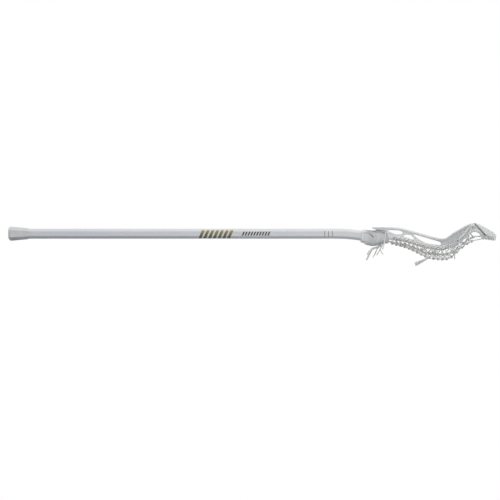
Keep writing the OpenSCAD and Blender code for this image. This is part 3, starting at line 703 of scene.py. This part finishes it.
def thong_fold(row):
    """The thong's end, led under the scoop string, folded over it and laid back on the thong."""
    end = thong_end(row)
    catch, leg = end + LACE_R + STRING_GAP, LACE_R + THONG_T / 2 + 0.1
    p, t = on_thong(row, end), thong_way(row, end)
    n = unit(np.cross(t, thong_across(row, end)))
    low = [on_thong(row, end - 7), on_thong(row, end - 3) - 1.3 * n, p + (catch - end) * t - leg * n]
    far = [p + (catch - end + leg) * t - leg * n, p + (catch - end + leg) * t + leg * n]
    high = [p + (catch - end) * t + leg * n]
    high += [on_thong(row, end - back) + (THONG_T + 0.1) * n for back in (4, 9, 14)]
    return low + far + high


def thong(name, row):
    """Flat strip from its knot behind the end plate, along the pocket, to its fold at the scoop."""
    start = along(THONG_START_AT)
    y = row_y(row, THROAT_END)
    run = [on_thong(row, u) for u in np.linspace(start, thong_end(row) - 8, 90)]
    back = [[KNOT_AT - 4, y, THONG_HOLE_Z - 1], [KNOT_AT, y, THONG_HOLE_Z - 0.4],
            [KNOT_AT + 4, y, THONG_HOLE_Z], [THROAT_END, y, THONG_HOLE_Z]]
    path = np.concatenate([rounded(back + run, radius=4.0, step=1.2, passes=4),
                           rounded(thong_fold(row), radius=2.4, step=0.6)])
    b = Builder()
    ups = np.cross(np.gradient(path, axis=0), [thong_across(row, q[0]) for q in path])
    b.tube(path, THONG_W, THONG_T, up=ups, sides=12, square=0.6)
    plate_knot(b, y)
    if name == "thong_outer_right":
        leather_knot(b)
        leather_keeper(b)
    b.make(name + "_leather", LEATHER, "thong_leather", name)


ROWS = {"thong_outer_left": 2, "thong_inner_left": 1, "thong_inner_right": -1, "thong_outer_right": -2}
for node, row in ROWS.items():
    thong(node, row)


# Lacing
HITCH_TURNS, HITCH_STEP, HITCH_BACK, HITCH_CATCH = 2, 3.0, 0.6, 110
LACE_BEND, LACE_STEP = 2.6, 0.8


def hitch(row, side, u, step):
    """Turns of cord round a thong, from over it at the near edge to under it, wound along the thong."""
    p, t, across = on_thong(row, u), thong_way(row, u), thong_across(row, u)
    n, s = unit(np.cross(t, across)), side * across
    wide, high = THONG_W / 2 + LACE_R, THONG_T / 2 + LACE_R
    last = -HITCH_CATCH - 360 * (HITCH_TURNS - 1)
    angles = np.radians(np.linspace(HITCH_CATCH, last, 6 * HITCH_TURNS))
    share = np.linspace(-0.5, 0.5, len(angles)) * step
    return [p + f * t + wide * math.cos(a) * s + high * math.sin(a) * n for a, f in zip(angles, share)]


CUT_END = {"cross_lace_centre": [[211.5, -5.4, 0], [212, -6, -6], [213.2, -6.6, -13.5]]}


def cross_lace(name, odd_row, even_row):
    """Cord that runs to and fro between two thongs and is hitched round each."""
    points = []
    for i in range(CROSSINGS + 1):
        row, other = (even_row, odd_row) if i % 2 == 0 else (odd_row, even_row)
        u = LACE_START + i * PITCH - HITCH_BACK
        points += hitch(row, math.copysign(1, row - other), u, -HITCH_STEP)
    b = Builder()
    b.tube(rounded(points, radius=3.0, step=LACE_STEP), 2 * LACE_R, sides=8)
    if name in CUT_END:
        route = [[u, y, rise + mesh_z(u, y)] for u, y, rise in CUT_END[name]]
        b.tube(curve(route, CURVE_STEPS), 2 * LACE_R, sides=8)
    b.make(name + "_cord", LACE, "lace_cord", name)


cross_lace("cross_lace_left", 1, 2)
cross_lace("cross_lace_centre", -1, 1)
cross_lace("cross_lace_right", -2, -1)


def rail_turn(side, u):
    """Points of the lacing under the foot rail, up its outside and in through a hole."""
    y, low = wall_y(u), wall_bottom(u - TUCK)
    lean, steep = (math.hypot(1, slope_of(line, u)) for line in (wall_y, wall_bottom))
    out, drop = (FOOT_THICK / 2 + LACE_R + 0.2) * lean, (LACE_R + 0.4) * steep
    return [[u - TUCK, side * (y - 2), low - drop], [u - TUCK, side * (y + 0.85 * out), low - drop],
            [u, side * (y + out), tie_z(u)], [u, side * (y - out), tie_z(u)],
            [u + TUCK, side * (y - out), hole_z(u) - 1]]


CHAIN_HOLES = (0, 12)
CHAIN_RISE, CHAIN_SWING, CHAIN_R, CHAIN_INSET = 6.6, 2.8, 1.45, 3.0


def rail_chain(b, side):
    """Two strands that twist along the outside of the foot rail from one hole to another."""
    first, last = (LACE_START + (i + (side > 0)) * PITCH for i in CHAIN_HOLES)
    hug = FOOT_THICK / 2 + CHAIN_R
    for phase, inset in ((0, CHAIN_INSET), (math.pi, 0.0)):
        run = []
        for u in np.linspace(first + inset, last - inset, 110):
            a = math.pi * (u - first) / PITCH + phase
            run.append([u, beside_wall(side, u, hug + CHAIN_R * (1 + math.cos(a))),
                        wall_bottom(u) + CHAIN_RISE + CHAIN_SWING * math.sin(a)])
        if inset:
            ends = [[[u, beside_wall(side, u, off), hole_z(u)] for off in (-1, hug)] for u in (first, last)]
            run = ends[0] + run + ends[1][::-1]
        b.tube(rounded(run, radius=2.0, step=LACE_STEP), 2 * CHAIN_R, sides=10)


def sidewall_string(name, side):
    """Cord from its end below the tie hole, in turns between the foot rail and the outer thong."""
    out = wall_y(TIE_HOLE[0]) + FOOT_THICK / 2 + LACE_R + 2 * STRING_GAP
    tail = TIE_TAIL_LEFT if side > 0 else TIE_TAIL_RIGHT
    points = [[p[0], side * (out + p[1]), p[2]] for p in tail]
    points += [[TIE_HOLE[0], side * out, 4], [TIE_HOLE[0], side * out, TIE_HOLE[1]],
               [TIE_HOLE[0], side * (STOP_ARC_W - 6), TIE_HOLE[1]],
               [THROAT_END - 2, side * (STOP_ARC_W - 4), FLOOR_TOP + LACE_R + 2 * STRING_GAP],
               [THROAT_END + 3, side * (STOP_ARC_W - 2), FLOOR_TOP + LACE_R - STRING_GAP]]
    for i in range(0 if side > 0 else 1, CROSSINGS, 2):
        u = LACE_START + i * PITCH
        points += rail_turn(side, u) + hitch(2 * side, -side, u + PITCH, HITCH_STEP)
    b = Builder()
    b.tube(rounded([np.array(p, float) for p in points], LACE_BEND, LACE_STEP), 2 * LACE_R, sides=8)
    wrap = curve([[u, side * y, z] for u, y, z in THROAT_WRAP], CURVE_STEPS)
    b.tube(rounded(wrap, radius=2.0, step=LACE_STEP), 2 * LACE_R, sides=8)
    rail_chain(b, side)
    b.make(name + "_cord", LACE, "lace_cord", name)


sidewall_string("sidewall_string_left", 1)
sidewall_string("sidewall_string_right", -1)


# Shooting strings and scoop string
CLEAR_LIFT = THONG_T / 2 + LACE_R + 2.4 * STRING_GAP
SHOOTER_OUT, SHOOTER_NECK, NECK_FROM = 4.0, 0.6, 0.93


def shooter_point(place, v):
    edge = along(place[0])
    u = edge + (along(place[1]) - edge) * (1 - v * v)
    y = v * (net_half(edge) + SHOOTER_OUT)
    slope = slope_of(lambda at: mesh_z(at, y), u)
    rise = CLEAR_LIFT + LACE_R + STRING_GAP + SHOOTER_T / 2
    return np.array([u, y, mesh_z(u, y)]) + rise * unit(np.array([-slope, 0, 1.0]))


TIE_LINE = [[241.5, 64], [238, 66.5], [234.5, 64], [230, 56.5], [224.5, 46], [219.5, 37]]
TIE_OFF, TIE_W, TIE_T = 4.8, 3.4, 1.8
TIE_KNOT_AT, TIE_KNOT_R, TIE_KNOT_TURNS, TIE_KNOT_CORD = (234.0, 63.0), 2.3, 1.6, 2.4


def shooter_tie(b, side):
    """Flat end of the upper shooting string, led down the outside of the sidewall to the lower one."""
    upper, lower = ([shooter_point(place, v * side) for v in (0.95, 1.0)]
                    for place in (SHOOTER_HIGH, SHOOTER_LOW))
    line = [[u, beside_wall(side, u, TIE_OFF), z] for u, z in TIE_LINE]
    path = rounded(curve(upper + line + lower[::-1], CURVE_STEPS), radius=2.0, step=1.0, passes=3)
    b.tube(path, TIE_W, TIE_T, sides=12, square=0.7)
    u, z = TIE_KNOT_AT
    knot = [[u + TIE_KNOT_R * math.cos(a), beside_wall(side, u, TIE_OFF + 1.6 + 0.2 * a),
             z + TIE_KNOT_R * math.sin(a)] for a in np.linspace(0, TIE_KNOT_TURNS * 2 * np.pi, 40)]
    b.tube(knot, TIE_KNOT_CORD, sides=10)


def shooting_string(name, place):
    """Flat string across the pocket, narrower where it passes the sidewalls."""
    edge, middle = place
    steep = shooter_point((edge, middle + 1), 0) - shooter_point((edge, middle - 1), 0)
    path = relax(resample([shooter_point(place, v) for v in np.linspace(-1, 1, 121)], 1.5), 12)
    share = np.abs(np.linspace(-1, 1, len(path)))
    width = np.where(share > NECK_FROM, SHOOTER_NECK, 1.0) * SHOOTER_W
    width = np.convolve(np.pad(width, 3, mode="edge"), np.ones(7) / 7, "valid")
    b = Builder()
    b.tube(path, SHOOTER_T, width, up=unit(steep), sides=14, square=0.6)
    if name == "shooting_string_upper":
        for side in (-1, 1):
            shooter_tie(b, side)
    b.make(name + "_lace", SHOOTER, "shooter_lace", name)


shooting_string("shooting_string_lower", SHOOTER_LOW)
shooting_string("shooting_string_upper", SHOOTER_HIGH)


def scoop_string():
    """Cord in turns between the scoop's holes and the ends of the thongs."""
    out = FOOT_THICK / 2 + LACE_R + STRING_GAP
    points = []
    for k in range(SCOOP_HOLES):
        y = (k - (SCOOP_HOLES - 1) / 2) * SCOOP_HOLE_STEP
        a, z, mid = scoop_turn(y), scoop_z(y), y + SCOOP_HOLE_STEP / 2
        catch = scoop_u(mid) - THONG_GAP + LACE_R + STRING_GAP
        far, foot = np.array([math.cos(a), math.sin(a), 0]), np.array([scoop_u(y), y, 0])
        low, step = z - SCOOP_RISE - LACE_R - 0.4, np.array([0, -TUCK, 0])
        up = np.array([0, 0, 1.0])
        points += [foot - 3 * far + low * up + step, foot + (out - 0.6) * far + low * up + step,
                   foot + out * far + z * up, foot - out * far + z * up,
                   np.array([catch, mid, mesh_z(catch, mid)])]
    b = Builder()
    b.tube(rounded(points[:-1], LACE_BEND, LACE_STEP), 2 * LACE_R, sides=8)
    b.make("scoop_string_cord", LACE, "lace_cord", "scoop_string")


scoop_string()


# Foam ball stop
STOP_SQUARE, STOP_ENDS = 0.45, (0.35, 0.5)


def soft_square(value, half):
    """A cosine or sine pulled towards a rounded square of that half size."""
    return math.copysign(abs(value) ** STOP_SQUARE, value) * half


def ball_stop():
    """Rounded pad along the back wall of the throat."""
    mid = STOP_WALL + STRING_GAP + STOP_THICK / 2
    verts, steps, ring = [], 44, 20
    for i in range(steps + 1):
        share = 2 * i / steps - 1
        a = math.radians(STOP_SWEEP * share)
        full = max(1 - abs(share) ** 10, 0) ** 0.5
        arm = np.array([(STOP_ARC_R - mid) * math.cos(a), -(STOP_ARC_W - mid) * math.sin(a)])
        centre, way = np.array([STOP_CENTRE, 0]) - arm, unit(arm)
        for k in range(ring):
            t = 2 * math.pi * (k + 0.5) / ring
            c = soft_square(math.cos(t), STOP_THICK / 2) * max(full, STOP_ENDS[0])
            s = soft_square(math.sin(t), STOP_HEIGHT / 2) * max(full, STOP_ENDS[1])
            verts.append([centre[0] + way[0] * c, centre[1] + way[1] * c,
                          FLOOR_TOP + STRING_GAP + STOP_HEIGHT / 2 + s])
    faces = [(i * ring + k, i * ring + (k + 1) % ring, (i + 1) * ring + (k + 1) % ring, (i + 1) * ring + k)
             for i in range(steps) for k in range(ring)]
    faces += [tuple(range(ring))[::-1], tuple(steps * ring + k for k in range(ring))]
    b = Builder()
    b.verts, b.faces = list(world(verts)), faces
    b.uvs = [(0.0, 0.0)] * sum(len(f) for f in faces)
    piece = b.make("ball_stop_foam", FOAM, "stop_foam", "ball_stop_pad")


ball_stop()


# CAD nodes that stay
WELD, BEVEL_FROM = 0.00002, math.radians(24)
HEAD_VOXEL, HEAD_PASSES = 0.0006, 6


def keep(node, material, slot):
    piece = frame["nodes"][node]
    piece.data.materials.clear()
    piece.data.materials.append(material)
    return piece


def modifier(piece, kind, **settings):
    made = piece.modifiers.new(kind.lower(), kind)
    for key, value in settings.items():
        setattr(made, key, value)


def bevelled(node, material, slot, width):
    piece = keep(node, material, slot)
    modifier(piece, "WELD", merge_threshold=WELD)
    modifier(piece, "BEVEL", width=width, segments=3, limit_method="ANGLE", angle_limit=BEVEL_FROM,
             harden_normals=True)


bevelled("handle_tube", PAINT, "handle_paint", width=0.0011)
bevelled("butt_cap", RUBBER, "cap_rubber", width=0.0012)
bevelled("head_screw", STEEL, "screw_steel", width=0.0005)
head = keep("head_frame", NYLON, "head_nylon")
modifier(head, "WELD", merge_threshold=WELD)
modifier(head, "REMESH", mode="VOXEL", voxel_size=HEAD_VOXEL, use_smooth_shade=True)
modifier(head, "SMOOTH", factor=0.5, iterations=HEAD_PASSES)


# Light and background
SKY_BELOW, SKY_LEVEL, SKY_ABOVE = rgb(0.07, 0.07, 0.075), rgb(1.14, 1.15, 1.165), rgb(0.5, 0.505, 0.515)
FLOOR_Z, FLOOR_REACH, FLOOR_BACK, FLOOR_GLOW = -0.66, 9.0, 3.0, 0.42


def light_world():
    """Studio light that is brightest at eye level, and plain white where it is seen or mirrored."""
    made = bpy.data.worlds.new("studio")
    bpy.context.scene.world = made
    made.use_nodes = True
    tree = made.node_tree
    tree.nodes.clear()
    new, link = tree.nodes.new, tree.links.new
    height = new("ShaderNodeSeparateXYZ")
    link(new("ShaderNodeTexCoord").outputs["Generated"], height.inputs[0])
    spread = new("ShaderNodeMapRange")
    spread.inputs["From Min"].default_value = -1.0
    link(height.outputs["Z"], spread.inputs["Value"])
    ramp = new("ShaderNodeValToRGB")
    stops = ramp.color_ramp.elements
    stops[0].position, stops[0].color = 0.0, SKY_BELOW
    stops[1].position, stops[1].color = 1.0, SKY_ABOVE
    middle = stops.new(0.5)
    middle.color = SKY_LEVEL
    link(spread.outputs["Result"], ramp.inputs["Fac"])
    studio, white = new("ShaderNodeBackground"), new("ShaderNodeBackground")
    link(ramp.outputs["Color"], studio.inputs["Color"])
    white.inputs["Color"].default_value = rgb(1, 1, 1)
    path = new("ShaderNodeLightPath")
    seen = new("ShaderNodeMath")
    seen.operation = "MAXIMUM"
    link(path.outputs["Is Camera Ray"], seen.inputs[0])
    shown = new("ShaderNodeMath")
    shown.operation = "MAXIMUM"
    link(path.outputs["Is Glossy Ray"], shown.inputs[0])
    link(path.outputs["Is Transmission Ray"], shown.inputs[1])
    link(shown.outputs[0], seen.inputs[1])
    mix, out = new("ShaderNodeMixShader"), new("ShaderNodeOutputWorld")
    link(seen.outputs[0], mix.inputs[0])
    link(studio.outputs[0], mix.inputs[1])
    link(white.outputs[0], mix.inputs[2])
    link(mix.outputs[0], out.inputs[0])


def softbox(name, place, target, size, power):
    data = bpy.data.lights.new(name, "AREA")
    data.shape, data.size, data.energy = "DISK", size, power
    lamp = bpy.data.objects.new(name, data)
    bpy.context.scene.collection.objects.link(lamp)
    lamp.location = place
    way = np.array(target, float) - np.array(place, float)
    lamp.rotation_euler = (math.acos(-way[2] / np.linalg.norm(way)), 0.0,
                           math.atan2(way[1], way[0]) - math.pi / 2)


def studio_floor():
    """Pale floor that glows to white, sends little light back up and is clear from below."""
    m = Nodes("studio_floor")
    cloud = m.spread(m.noise(m.coords(), 1.5, 2.0), 0.0, 1.0)
    m.set(base_color=m.mix(cloud, rgb(0.8, 0.8, 0.8), rgb(0.82, 0.82, 0.82)), roughness=0.9)
    tree = m.tree
    new, link = tree.nodes.new, tree.links.new
    out = tree.nodes["Material Output"]
    glow, both = new("ShaderNodeEmission"), new("ShaderNodeAddShader")
    glow.inputs["Strength"].default_value = FLOOR_GLOW
    link(m.shader.outputs[0], both.inputs[0])
    link(glow.outputs[0], both.inputs[1])
    dim = new("ShaderNodeBsdfDiffuse")
    dim.inputs["Color"].default_value = rgb(0.14, 0.14, 0.145)
    path = new("ShaderNodeLightPath")
    mix, back = new("ShaderNodeMixShader"), new("ShaderNodeMixShader")
    clear = new("ShaderNodeBsdfTransparent")
    link(path.outputs["Is Diffuse Ray"], mix.inputs[0])
    link(both.outputs[0], mix.inputs[1])
    link(dim.outputs[0], mix.inputs[2])
    link(new("ShaderNodeNewGeometry").outputs["Backfacing"], back.inputs[0])
    link(mix.outputs[0], back.inputs[1])
    link(clear.outputs[0], back.inputs[2])
    link(back.outputs[0], out.inputs["Surface"])
    corners = [(-FLOOR_REACH, -FLOOR_REACH), (FLOOR_REACH, -FLOOR_REACH), (FLOOR_REACH, FLOOR_BACK),
               (-FLOOR_REACH, FLOOR_BACK)]
    mesh = bpy.data.meshes.new("studio_floor")
    mesh.from_pydata([(x, y, FLOOR_Z) for x, y in corners], [], [(0, 1, 2, 3)])
    mesh.materials.append(m.material)
    floor = bpy.data.objects.new("studio_floor", mesh)
    bpy.context.scene.collection.objects.link(floor)


light_world()
softbox("key_softbox", place=(0.1, -1.0, 3.4), target=(0.14, 0.0, 0.0), size=2.4, power=12.0)
softbox("scoop_softbox", place=(2.4, -0.9, 0.7), target=(0.62, 0.0, 0.0), size=1.0, power=5.8)
softbox("pocket_fill", place=(0.72, -0.42, -0.36), target=(0.5, 0.0, -0.02), size=0.4, power=0.42)
studio_floor()
bpy.context.scene.view_settings.view_transform = "Standard"
